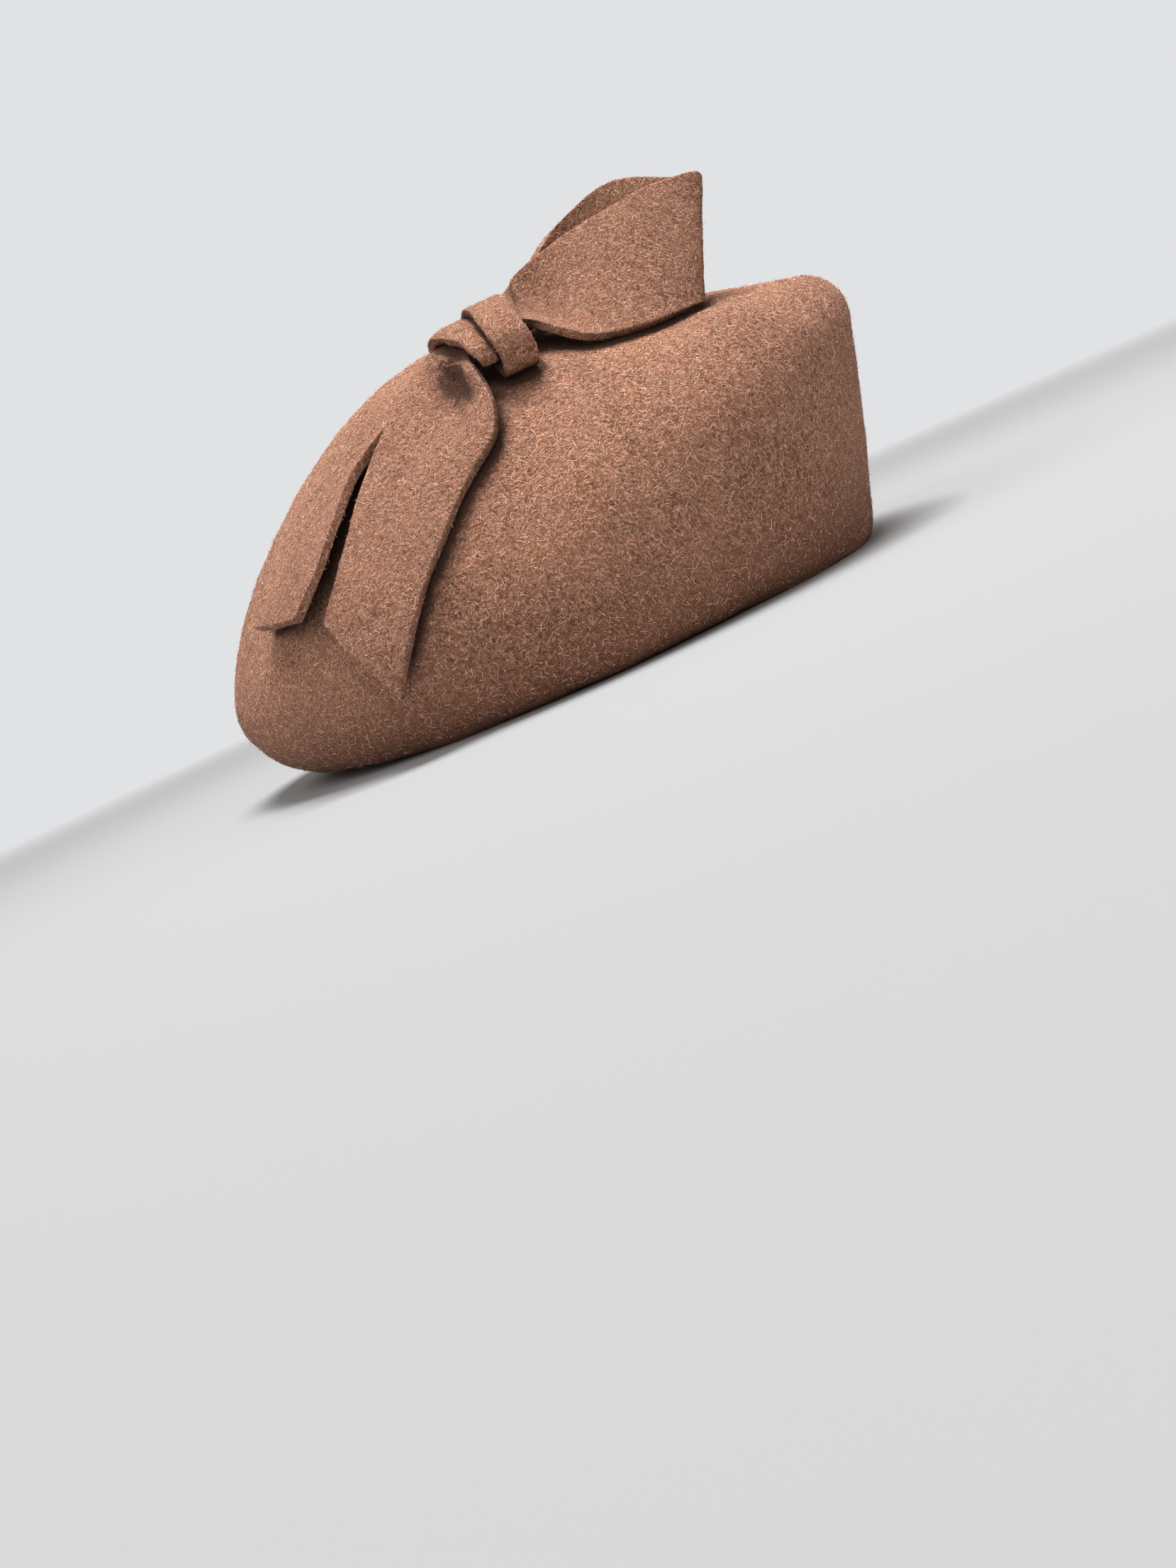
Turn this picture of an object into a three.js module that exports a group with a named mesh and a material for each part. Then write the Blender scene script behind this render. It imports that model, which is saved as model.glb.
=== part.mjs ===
// A pillbox hat blocked from one thick wool felt, with a half bow of felt strip on its right side.
//
// Millimetres. The head opening lies in the plane z = 0 with its centre at the origin, +Z is up,
// the wearer looks along -Y, and the wearer's left is +X. An azimuth is measured in degrees round
// the crown, from the front (-Y) towards the wearer's right (-X).

import * as THREE from 'three';

// ---------------------------------------------------------------- driving dimensions

const CROWN_FELT = 3; // thickness of the crown's felt
const STRIP_FELT = 2.6; // thickness of the bow's felt
const GAP = 0.3; // clearance between neighbouring pieces

const HEAD_HALF_LENGTH = 97; // head opening, from its centre to the front
const HEAD_HALF_WIDTH = 80; // head opening, from its centre to the side
const SEAT_WIDTH = 3; // flat ring round the opening that the hat rests on
const APEX_HEIGHT = 111; // height of the crown over the centre of the opening
const APEX_FALL = { front: 0.17, right: -0.08 }; // slope of the felt at the apex, two ways
const APEX_REACH = 0.5; // how far out that slope carries, as a share of the brow's radius

// One row for each section of the crown: its azimuth, then the corners of the section as radius
// and height, each with the length over which it is rounded.
const CROWN_COLUMNS = ['azimuth', 'footRadius', 'footRise', 'footRound', 'shoulderRadius',
  'shoulderHeight', 'shoulderDown', 'shoulderIn', 'browRadius', 'browHeight'];
const CROWN_SECTIONS = namedRows(CROWN_COLUMNS, [
  [0, 102, 2, 12, 121, 73, 17, 17, 62, 95], // front
  [45, 106, 0, 8, 116, 51, 25, 31, 53, 106],
  [90, 103, 0, 11, 118, 38, 24, 43, 45, 110], // wearer's right
  [135, 114, 8, 14, 123, 42, 18, 55, 35, 117],
  [180, 119, 7, 18, 129, 53, 24, 53, 43, 115], // back
  [225, 110, 3, 14, 122, 58, 22, 38, 48, 108],
  [270, 101, 0, 11, 118, 70, 18, 25, 54, 101], // wearer's left
  [315, 100, 0, 10, 121, 80, 14, 15, 58, 95],
]);

// Soft hollows pressed into the felt by hand.
const HOLLOWS = namedRows(['azimuth', 'radius', 'height', 'spread', 'depth'], [
  [5, 84, 88, 22, 4], // on the top, in front of the loop's fold
  [30, 112, 34, 34, 1.5], // low on the wall, front right
]);
const HOLLOW_CENTRE_HEIGHT = 40; // the hollows are pushed towards this point on the axis

// ---------------------------------------------------------------- the bow

const BOW_AZIMUTH = 55; // the bow's broad side faces this way

// The knot is one narrow strip wound twice round the gathered felt. Its turns are rounded
// oblongs about the knot's middle, seen along the bow: half their length up the slope of the
// crown, and half their height over it, to the middle of the felt.
const KNOT = { along: 9, out: 66.7, lift: 7.4 }; // the knot's middle, in the bow's frame
const WRAP = { width: 10, halfLength: 12, halfHeight: 5.3, squareness: 2.2 };

// One row for each stage of the winding: degrees round the oblong from its lower end, shift of
// the strip along the bow, how far it stands proud of the oblong, and the degrees by which its
// edge towards the tails and its edge towards the loop are turned in.
const WINDING = namedRows(['turn', 'shift', 'proud', 'tailsEdge', 'loopEdge'], [
  [-3, -0.3, 0, 12, 0], // lower end, first turn
  [60, -3, 0, 12, 0],
  [110, -7.4, 0, 22, 0],
  [130, -9.6, 0.8, 36, 0],
  [155, -11.6, 1.8, 46, 0],
  [180, -12.4, 1.8, 46, 0], // upper end
  [235, -1, 0, 0, 0],
  [270, 2.5, 0, 0, 0],
  [340, 4.5, 2.9, 0, 0],
  [360, 5.1, 2.9, 0, 4], // lower end, second turn
  [450, 2.6, 2.9, 0, 8],
  [500, 0.3, 2.9, 0, 0],
  [540, -2.3, 2.9, 0, 0],
]);

// The tails lie on the crown. Each row is a cut across the strip, with its two edges given by
// azimuth, distance down the felt from the apex, and lift over the felt. A trough is the depth
// to which the middle of the strip is folded in.
const TAIL_COLUMNS = ['rearAzimuth', 'rearDown', 'rearLift', 'foreAzimuth', 'foreDown', 'foreLift',
  'trough'];
const TAIL_FRONT = namedRows(TAIL_COLUMNS, [
  [50, 65.5, 9, 50, 77, 9, 0],
  [60.5, 64.2, 9, 53.4, 78.3, 8.7, 0.8],
  [65, 66.5, 8.6, 53.2, 85, 8.4, 5.6],
  [69, 72.5, 7.8, 52.9, 94, 5.8, 5.4],
  [75.5, 85, 6, 55, 104.5, 2.9, 2],
  [80, 96, 4.6, 62, 114.5, 2.4, 0],
  [84.5, 114, 4, 71, 131.5, 2.6, 0],
  [90, 132, 4, 81, 156, 7, 0],
]);
const TAIL_BACK = namedRows(TAIL_COLUMNS, [
  [50, 66, 5.7, 50, 76.5, 5.7, 0],
  [61, 66, 3, 59, 70.5, 2.6, 0],
  [71, 60, 2.7, 68, 71, 2.7, 1.5],
  [80.5, 61, 2.9, 75, 79, 4.5, 2],
  [89, 73, 2.9, 82, 91, 5.7, 1.5],
  [96, 92, 2.7, 84.4, 104, 7, 0.5],
  [103, 112, 3, 87, 118.5, 8.7, 0],
  [109, 125, 4, 93, 130, 9, 0],
]);

// The loop stands on the crown on its lower edge. The rows run out along its front layer, round
// the fold, and back along its rear layer, in the bow's own frame: along towards the fold, out
// away from the crown's axis, lift over the crown, and height over the head opening.
const LOOP_COLUMNS = ['lowAlong', 'lowOut', 'lowLift', 'highAlong', 'highOut', 'highHeight', 'trough'];
const LOOP = namedRows(LOOP_COLUMNS, [
  [9.6, 76.4, 10.5, 9.6, 66, 99.4, 0],
  [14.3, 74, 10, 14.3, 66.6, 101.7, 0],
  [17, 71.6, 9.4, 17, 60.8, 106.6, 0],
  [20, 69, 9, 20.3, 53.4, 109.9, 2.4],
  [26, 73, 6, 26.3, 55, 112.2, 5],
  [33, 76.5, 3, 33, 57, 113.4, 3],
  [42, 76.5, 1.8, 42.7, 59, 114.8, 1],
  [53, 74.5, 1.8, 54.5, 59, 115.9, 0],
  [63, 68, 1.8, 65.5, 55, 117.6, 0],
  [67.2, 62.4, 1.8, 82, 48.4, 117.2, 0],
  [65.5, 57.5, 1.8, 80, 44, 117.2, 0],
  [60, 50, 1.8, 71, 40.5, 122.7, 0],
  [54, 41, 1.8, 60.5, 37, 127.5, 0],
  [44, 37, 1.8, 46, 37.5, 124.7, 0],
  [32, 43, 1.8, 34, 41, 119, -2],
  [20, 61, 5.5, 20, 49.5, 106.4, -2.8],
  [13.5, 71.5, 7, 13.5, 62.6, 98.7, 0],
  [9.6, 75.2, 7.3, 9.6, 64, 97.3, 0],
]);

// ---------------------------------------------------------------- mesh density

const CROWN_STEPS = 56; // divisions round the crown
const SECTION_STEPS = { seat: 1, under: 1, foot: 4, wall: 3, shoulder: 6, slope: 2, brow: 6 };
const CORNER_PULL = 0.42; // how far a corner's curve is pulled towards its point
const STRIP_STEPS = { tail: 24, loop: 38, wrap: 50, acrossTail: 12, acrossLoop: 8, acrossWrap: 5 };
const AZIMUTH_STEP = 1; // degrees either side of a section, for its surface normals
const SMALLEST_BEND = 0.001; // radians, below which an arc is a straight line

// ---------------------------------------------------------------- helpers

function namedRows(columns, rows) {
  return rows.map((row) => Object.fromEntries(columns.map((name, i) => [name, row[i]])));
}

function smoothBlend(p0, p1, p2, p3, t) {
  // Catmull-Rom between p1 and p2
  const a = 2 * p1;
  const b = p2 - p0;
  const c = 2 * p0 - 5 * p1 + 4 * p2 - p3;
  const d = 3 * (p1 - p2) + p3 - p0;
  return (a + b * t + c * t * t + d * t * t * t) / 2;
}

function roundTheCrown(column, azimuth) {
  const count = CROWN_SECTIONS.length;
  const place = THREE.MathUtils.euclideanModulo(azimuth, 360) / (360 / count);
  const first = Math.floor(place) % count;
  const at = (i) => CROWN_SECTIONS[(first + i + count) % count][column];
  return smoothBlend(at(-1), at(0), at(1), at(2), place - Math.floor(place));
}

function alongRows(rows, column, u) {
  const place = u * (rows.length - 1);
  const first = Math.min(Math.floor(place), rows.length - 2);
  const at = (i) => rows[THREE.MathUtils.clamp(first + i, 0, rows.length - 1)][column];
  return smoothBlend(at(-1), at(0), at(1), at(2), place - first);
}

const degrees = THREE.MathUtils.degToRad;

function cylindrical(azimuth, radius, height) {
  const angle = degrees(azimuth);
  return new THREE.Vector3(-radius * Math.sin(angle), -radius * Math.cos(angle), height);
}

// ---------------------------------------------------------------- the crown's outer surface

function straight(from, to, steps) {
  return Array.from({ length: steps }, (_, i) => from.clone().lerp(to, (i + 1) / (steps + 1)));
}

function roundedCorner(before, corner, after, lengthIn, lengthOut, steps) {
  const start = corner.clone().add(before.clone().sub(corner).setLength(lengthIn));
  const end = corner.clone().add(after.clone().sub(corner).setLength(lengthOut));
  const pullIn = corner.clone().lerp(start, CORNER_PULL);
  const pullOut = corner.clone().lerp(end, CORNER_PULL);
  return new THREE.CubicBezierCurve(start, pullIn, pullOut, end).getPoints(steps);
}

function pressHollows(point, azimuth) {
  // moves a point of the section at this azimuth towards the hollows' centre on the axis
  const place = cylindrical(azimuth, point.x, point.y);
  let depth = 0;
  for (const hollow of HOLLOWS) {
    const middle = cylindrical(hollow.azimuth, hollow.radius, hollow.height);
    depth += hollow.depth * Math.exp(-place.distanceToSquared(middle) / hollow.spread ** 2);
  }
  const inwards = new THREE.Vector2(0, HOLLOW_CENTRE_HEIGHT).sub(point);
  return point.add(inwards.setLength(depth));
}

function headRadius(azimuth) {
  const across = HEAD_HALF_LENGTH * Math.sin(degrees(azimuth));
  const along = HEAD_HALF_WIDTH * Math.cos(degrees(azimuth));
  return (HEAD_HALF_LENGTH * HEAD_HALF_WIDTH) / Math.hypot(across, along);
}

// The section at an azimuth, from the edge of the opening over the foot, wall, shoulder and brow
// to the apex, as (radius, height) points.
function crownSection(azimuth) {
  const get = (column) => roundTheCrown(column, azimuth);
  const rim = new THREE.Vector2(headRadius(azimuth), 0);
  const seat = new THREE.Vector2(rim.x + SEAT_WIDTH, 0);
  const foot = new THREE.Vector2(get('footRadius'), Math.max(get('footRise'), 0));
  const shoulder = new THREE.Vector2(get('shoulderRadius'), get('shoulderHeight'));
  const brow = new THREE.Vector2(get('browRadius'), get('browHeight'));
  const apex = new THREE.Vector2(0, APEX_HEIGHT);

  const counts = SECTION_STEPS;
  const footIn = Math.min(get('footRound'), 0.95 * seat.distanceTo(foot));
  const footCurve = roundedCorner(seat, foot, shoulder, footIn, get('footRound'), counts.foot);
  const shoulderIn = get('shoulderIn');
  const shoulderCurve = roundedCorner(foot, shoulder, brow, get('shoulderDown'), shoulderIn,
    counts.shoulder);
  const browIn = 0.95 * (shoulder.distanceTo(brow) - shoulderIn);
  const browStart = brow.clone().add(shoulder.clone().sub(brow).setLength(browIn));
  const fall = APEX_FALL.front * Math.cos(degrees(azimuth))
    + APEX_FALL.right * Math.sin(degrees(azimuth));
  const apexPull = new THREE.Vector2(APEX_REACH * brow.x, APEX_HEIGHT - fall * APEX_REACH * brow.x);
  const browPull = brow.clone().lerp(browStart, CORNER_PULL);
  const browCurve = new THREE.CubicBezierCurve(browStart, browPull, apexPull, apex)
    .getPoints(counts.brow).slice(0, -1);

  const felt = [
    ...footCurve,
    ...straight(footCurve.at(-1), shoulderCurve[0], counts.wall),
    ...shoulderCurve,
    ...straight(shoulderCurve.at(-1), browCurve[0], counts.slope),
    ...browCurve,
  ].map((point) => pressHollows(point, azimuth));
  return [rim, ...straight(rim, seat, counts.seat), seat, ...straight(seat, felt[0], counts.under),
    ...felt, apex];
}

function crownNormal(section, ahead, behind, index, azimuth) {
  // section, and the sections a little ahead and behind in azimuth
  const low = section[Math.max(index - 1, 0)];
  const high = section[Math.min(index + 1, section.length - 1)];
  const up = cylindrical(azimuth, high.x, high.y).sub(cylindrical(azimuth, low.x, low.y));
  const round = cylindrical(azimuth + AZIMUTH_STEP, ahead[index].x, ahead[index].y)
    .sub(cylindrical(azimuth - AZIMUTH_STEP, behind[index].x, behind[index].y));
  return up.cross(round).normalize();
}

// A point over the crown: distance down the felt from the apex, and lift along the normal.
function overCrown(azimuth, down, lift) {
  const section = crownSection(azimuth);
  const ahead = crownSection(azimuth + AZIMUTH_STEP);
  const behind = crownSection(azimuth - AZIMUTH_STEP);
  let travelled = 0;
  for (let i = section.length - 1; i > 0; i--) {
    const length = section[i].distanceTo(section[i - 1]);
    if (travelled + length >= down || i === 1) {
      const t = (down - travelled) / length;
      const point = section[i].clone().lerp(section[i - 1], t);
      const upper = crownNormal(section, ahead, behind, i, azimuth);
      const lower = crownNormal(section, ahead, behind, i - 1, azimuth);
      const normal = upper.lerp(lower, t).normalize();
      return cylindrical(azimuth, point.x, point.y).addScaledVector(normal, lift);
    }
    travelled += length;
  }
  return null;
}

function crownHeight(x, y) {
  const azimuth = THREE.MathUtils.radToDeg(Math.atan2(-x, -y));
  const radius = Math.hypot(x, y);
  const section = crownSection(azimuth);
  let i = section.length - 1;
  while (i > 1 && section[i - 1].x < radius) i--;
  const t = (radius - section[i].x) / (section[i - 1].x - section[i].x);
  return THREE.MathUtils.lerp(section[i].y, section[i - 1].y, t);
}

// ---------------------------------------------------------------- closed bodies

function closedBody(points, triangles) {
  const geometry = new THREE.BufferGeometry();
  const positions = points.flatMap((point) => [point.x, point.y, point.z]);
  geometry.setAttribute('position', new THREE.Float32BufferAttribute(positions, 3));
  geometry.setIndex(triangles.flat());
  geometry.computeVertexNormals();
  return geometry;
}

function crownGeometry() {
  const azimuths = Array.from({ length: CROWN_STEPS }, (_, j) => (360 * j) / CROWN_STEPS);
  const outer = [];
  const inner = [];
  for (const azimuth of azimuths) {
    const section = crownSection(azimuth);
    const ahead = crownSection(azimuth + AZIMUTH_STEP);
    const behind = crownSection(azimuth - AZIMUTH_STEP);
    section.slice(0, -1).forEach((point, i) => {
      const place = cylindrical(azimuth, point.x, point.y);
      const flat = point.y === 0;
      const normal = flat ? new THREE.Vector3(0, 0, -1)
        : crownNormal(section, ahead, behind, i, azimuth);
      outer.push(place);
      inner.push(place.clone().addScaledVector(normal, -CROWN_FELT));
    });
  }
  const rings = outer.length / CROWN_STEPS;
  const points = [...outer, ...inner, new THREE.Vector3(0, 0, APEX_HEIGHT),
    new THREE.Vector3(0, 0, APEX_HEIGHT - CROWN_FELT)];
  const outerAt = (j, i) => (j % CROWN_STEPS) * rings + i;
  const innerAt = (j, i) => outer.length + outerAt(j, i);
  const outerApex = 2 * outer.length;
  const triangles = [];
  for (let j = 0; j < CROWN_STEPS; j++) {
    for (let i = 0; i < rings - 1; i++) {
      triangles.push([outerAt(j, i), outerAt(j, i + 1), outerAt(j + 1, i + 1)]);
      triangles.push([outerAt(j, i), outerAt(j + 1, i + 1), outerAt(j + 1, i)]);
      triangles.push([innerAt(j, i), innerAt(j + 1, i + 1), innerAt(j, i + 1)]);
      triangles.push([innerAt(j, i), innerAt(j + 1, i), innerAt(j + 1, i + 1)]);
    }
    triangles.push([outerAt(j, rings - 1), outerApex, outerAt(j + 1, rings - 1)]);
    triangles.push([innerAt(j, rings - 1), innerAt(j + 1, rings - 1), outerApex + 1]);
    triangles.push([outerAt(j, 0), outerAt(j + 1, 0), innerAt(j + 1, 0)]);
    triangles.push([outerAt(j, 0), innerAt(j + 1, 0), innerAt(j, 0)]);
  }
  return closedBody(points, triangles);
}

// A strip of felt from its middle surface, a grid of points along and across, with a square cut
// edge all round.
function feltGeometry(grid, thickness) {
  const lengthSteps = grid.length;
  const acrossSteps = grid[0].length;
  const top = [];
  const bottom = [];
  for (let i = 0; i < lengthSteps; i++) {
    for (let k = 0; k < acrossSteps; k++) {
      const along = grid[Math.min(i + 1, lengthSteps - 1)][k].clone().sub(grid[Math.max(i - 1, 0)][k]);
      const across = grid[i][Math.min(k + 1, acrossSteps - 1)].clone()
        .sub(grid[i][Math.max(k - 1, 0)]);
      const half = along.cross(across).setLength(thickness / 2);
      top.push(grid[i][k].clone().add(half));
      bottom.push(grid[i][k].clone().sub(half));
    }
  }
  const topAt = (i, k) => i * acrossSteps + k;
  const bottomAt = (i, k) => top.length + topAt(i, k);
  const triangles = [];
  const quad = (a, b, c, d) => triangles.push([a, b, c], [a, c, d]);
  for (let i = 0; i < lengthSteps - 1; i++) {
    for (let k = 0; k < acrossSteps - 1; k++) {
      quad(topAt(i, k), topAt(i + 1, k), topAt(i + 1, k + 1), topAt(i, k + 1));
      quad(bottomAt(i, k), bottomAt(i, k + 1), bottomAt(i + 1, k + 1), bottomAt(i + 1, k));
    }
    quad(topAt(i, 0), bottomAt(i, 0), bottomAt(i + 1, 0), topAt(i + 1, 0));
    const far = acrossSteps - 1;
    quad(topAt(i, far), topAt(i + 1, far), bottomAt(i + 1, far), bottomAt(i, far));
  }
  for (let k = 0; k < acrossSteps - 1; k++) {
    quad(topAt(0, k), topAt(0, k + 1), bottomAt(0, k + 1), bottomAt(0, k));
    const end = lengthSteps - 1;
    quad(topAt(end, k), bottomAt(end, k), bottomAt(end, k + 1), topAt(end, k + 1));
  }
  return closedBody([...top, ...bottom], triangles);
}

function steps(count) {
  return Array.from({ length: count + 1 }, (_, i) => i / count);
}

const LOWEST_LIFT = STRIP_FELT / 2 + GAP; // of the middle of a strip over the crown

function loopTrough(v) {
  return 1 - (2 * v - 1) ** 2;
}

// A tail's trough falls steeply behind the rolled fore edge and rises slowly to the rear one.
const ROLLED_EDGE = { top: 0.04, foot: 0.36, rise: 0.42, rear: 0.97 };

function tailTrough(v) {
  const { smoothstep } = THREE.MathUtils;
  const { top, foot, rise, rear } = ROLLED_EDGE;
  return smoothstep(v, top, foot) * (1 - smoothstep(v, rise, rear));
}

// ---------------------------------------------------------------- the bow's pieces, in its frame

const bow = new THREE.Group();
bow.rotation.z = -degrees(BOW_AZIMUTH);
const crownToBow = new THREE.Matrix4().makeRotationZ(degrees(BOW_AZIMUTH));
const bowToCrown = crownToBow.clone().invert();

function tailGeometry(rows) {
  const grid = steps(STRIP_STEPS.tail).map((u) => {
    const get = (column) => alongRows(rows, column, u);
    return steps(STRIP_STEPS.acrossTail).map((v) => {
      const azimuth = THREE.MathUtils.lerp(get('foreAzimuth'), get('rearAzimuth'), v);
      const down = THREE.MathUtils.lerp(get('foreDown'), get('rearDown'), v);
      const lift = THREE.MathUtils.lerp(get('foreLift'), get('rearLift'), v);
      const troughLift = lift - get('trough') * tailTrough(v);
      return overCrown(azimuth, down, Math.max(troughLift, LOWEST_LIFT)).applyMatrix4(crownToBow);
    });
  });
  return feltGeometry(grid, STRIP_FELT);
}

function loopGeometry() {
  const edges = steps(STRIP_STEPS.loop).map((u) => {
    const get = (column) => alongRows(LOOP, column, u);
    const low = crownUnderBow(get('lowAlong'), get('lowOut'));
    low.z += Math.max(get('lowLift'), LOWEST_LIFT);
    const high = new THREE.Vector3(get('highAlong'), -get('highOut'), get('highHeight'));
    return { low, high, trough: get('trough') };
  });
  const grid = edges.map(({ low, high, trough }, i) => {
    const before = edges[Math.max(i - 1, 0)];
    const after = edges[Math.min(i + 1, edges.length - 1)];
    const along = after.low.clone().add(after.high).sub(before.low).sub(before.high);
    const inwards = along.cross(high.clone().sub(low)).normalize().negate();
    return steps(STRIP_STEPS.acrossLoop).map((v) =>
      low.clone().lerp(high, v).addScaledVector(inwards, trough * loopTrough(v)));
  });
  return feltGeometry(grid, STRIP_FELT);
}

// A point of the crown's surface in the bow's frame.
function crownUnderBow(along, out) {
  const ground = new THREE.Vector3(along, -out, 0).applyMatrix4(bowToCrown);
  return new THREE.Vector3(along, -out, crownHeight(ground.x, ground.y));
}

function knotFrame() {
  const { along, out, lift } = KNOT;
  const eastwards = crownUnderBow(along + 1, out).sub(crownUnderBow(along - 1, out));
  const inwards = crownUnderBow(along, out - 1).sub(crownUnderBow(along, out + 1));
  const over = eastwards.cross(inwards).normalize();
  const upSlope = over.clone().cross(new THREE.Vector3(1, 0, 0)).normalize();
  const sideways = upSlope.clone().cross(over);
  const middle = crownUnderBow(along, out).addScaledVector(over, lift);
  return { middle, over, upSlope, sideways };
}

function windingAt(column, turn) {
  let i = 0;
  while (i < WINDING.length - 2 && WINDING[i + 1].turn < turn) i++;
  const [from, to] = [WINDING[i], WINDING[i + 1]];
  const t = THREE.MathUtils.smoothstep(turn, from.turn, to.turn);
  return THREE.MathUtils.lerp(from[column], to[column], t);
}

// The strip's cross-section at a turn: points (along the bow, proud), from the tails' edge to
// the loop's. Each half is an arc that starts flat at the middle and is turned in at its edge.
function wrapProfile(turn) {
  const half = WRAP.width / 2;
  const edges = { tails: degrees(windingAt('tailsEdge', turn)), loop: degrees(windingAt('loopEdge', turn)) };
  return steps(STRIP_STEPS.acrossWrap).map((v) => {
    const side = Math.sign(v - 0.5);
    const reach = Math.abs(2 * v - 1);
    const edge = Math.max(side < 0 ? edges.tails : edges.loop, SMALLEST_BEND);
    const bent = edge * reach;
    const radius = half / edge;
    return { x: side * radius * Math.sin(bent), y: -radius * (1 - Math.cos(bent)) };
  });
}

function wrapGeometry() {
  const { middle, over, upSlope, sideways } = knotFrame();
  const oblong = (value) => Math.sign(value) * Math.abs(value) ** (2 / WRAP.squareness);
  const grid = steps(STRIP_STEPS.wrap).map((u) => {
    const turn = THREE.MathUtils.lerp(WINDING[0].turn, WINDING.at(-1).turn, u);
    const shift = windingAt('shift', turn);
    return wrapProfile(turn).map(({ x, y }) => {
      const proud = windingAt('proud', turn) + y;
      const up = -oblong(Math.cos(degrees(turn))) * (WRAP.halfLength + proud);
      const high = oblong(Math.sin(degrees(turn))) * (WRAP.halfHeight + proud);
      return middle.clone().addScaledVector(upSlope, up).addScaledVector(over, high)
        .addScaledVector(sideways, shift + x);
    });
  });
  return feltGeometry(grid, STRIP_FELT);
}

const parts = new THREE.Group();
parts.add(bow);

function addFelt(parent, name, geometry, colour) {
  const material = new THREE.MeshStandardMaterial({ color: colour, roughness: 0.95, metalness: 0 });
  const mesh = new THREE.Mesh(geometry, material);
  mesh.name = name;
  parent.add(mesh);
}

const CROWN_COLOUR = 0xa97b64;
const BOW_COLOUR = 0xae8168;

addFelt(parts, 'crown', crownGeometry(), CROWN_COLOUR);
addFelt(bow, 'tail_front', tailGeometry(TAIL_FRONT), BOW_COLOUR);
addFelt(bow, 'tail_back', tailGeometry(TAIL_BACK), BOW_COLOUR);
addFelt(bow, 'bow_loop', loopGeometry(), BOW_COLOUR);
addFelt(bow, 'knot_wrap', wrapGeometry(), BOW_COLOUR);

export default parts;
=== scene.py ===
"""A pillbox hat of dusty rose-brown wool felt with a knotted half bow, dressed and lit."""

import logging
import math
from dataclasses import dataclass
from enum import Enum
from typing import Any, Callable, Optional, Sequence, Union

import bmesh
import bpy
from mathutils import Matrix, Vector, noise
from mathutils.bvhtree import BVHTree


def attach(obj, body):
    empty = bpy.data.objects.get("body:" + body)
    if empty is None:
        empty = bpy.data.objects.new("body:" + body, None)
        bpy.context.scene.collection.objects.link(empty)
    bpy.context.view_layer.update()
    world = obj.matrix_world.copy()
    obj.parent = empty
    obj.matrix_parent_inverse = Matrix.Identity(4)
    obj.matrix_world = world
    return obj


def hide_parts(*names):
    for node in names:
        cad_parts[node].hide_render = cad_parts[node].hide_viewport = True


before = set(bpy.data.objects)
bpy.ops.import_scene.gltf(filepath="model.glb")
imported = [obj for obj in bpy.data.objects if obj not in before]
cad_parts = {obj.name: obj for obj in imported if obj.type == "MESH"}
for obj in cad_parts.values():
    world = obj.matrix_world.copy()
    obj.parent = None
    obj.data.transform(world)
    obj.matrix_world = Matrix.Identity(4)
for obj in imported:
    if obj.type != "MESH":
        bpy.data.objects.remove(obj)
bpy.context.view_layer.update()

log = logging.getLogger("hat")

Colour = tuple[float, float, float]
MILLIMETRE = 0.001
# Painted shade: felt and nap darken in colour with this depth, standing in for the shade in folds, hollows
# and gaps.
OCCLUSION = "fold"  # attribute: how deep a point lies in a fold, from 0 in the open to 1
HEAD_MIDDLE = Vector((0.0, 0.0, 0.035))  # inside the crown, where the head would be


# ---------------------------------------------------------------- node trees


class Wire:
    """One output of a node, which takes part in Python sums on values."""

    def __init__(self, board: "Board", socket: bpy.types.NodeSocket) -> None:
        """Keep the tree and the socket."""
        self.board = board
        self.socket = socket

    def _sum(self, operation: str, first: Any, second: Any) -> "Wire":
        """Add one Math node.

        Args:
            operation: The Math node's operation.
            first: A number or a wire.
            second: A number or a wire.

        Returns:
            The node's result.
        """
        node = self.board.node("ShaderNodeMath", {"operation": operation}, {0: first, 1: second})
        return Wire(self.board, node.outputs[0])

    def __add__(self, other: Any) -> "Wire":
        """Return self + other."""
        return self._sum("ADD", self, other)

    def __radd__(self, other: Any) -> "Wire":
        """Return other + self."""
        return self._sum("ADD", other, self)

    def __sub__(self, other: Any) -> "Wire":
        """Return self - other."""
        return self._sum("SUBTRACT", self, other)

    def __rsub__(self, other: Any) -> "Wire":
        """Return other - self."""
        return self._sum("SUBTRACT", other, self)

    def __mul__(self, other: Any) -> "Wire":
        """Return self * other."""
        return self._sum("MULTIPLY", self, other)

    def __rmul__(self, other: Any) -> "Wire":
        """Return other * self."""
        return self._sum("MULTIPLY", other, self)

    def highest(self, other: Any) -> "Wire":
        """Return the larger of self and other."""
        return self._sum("MAXIMUM", self, other)


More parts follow.
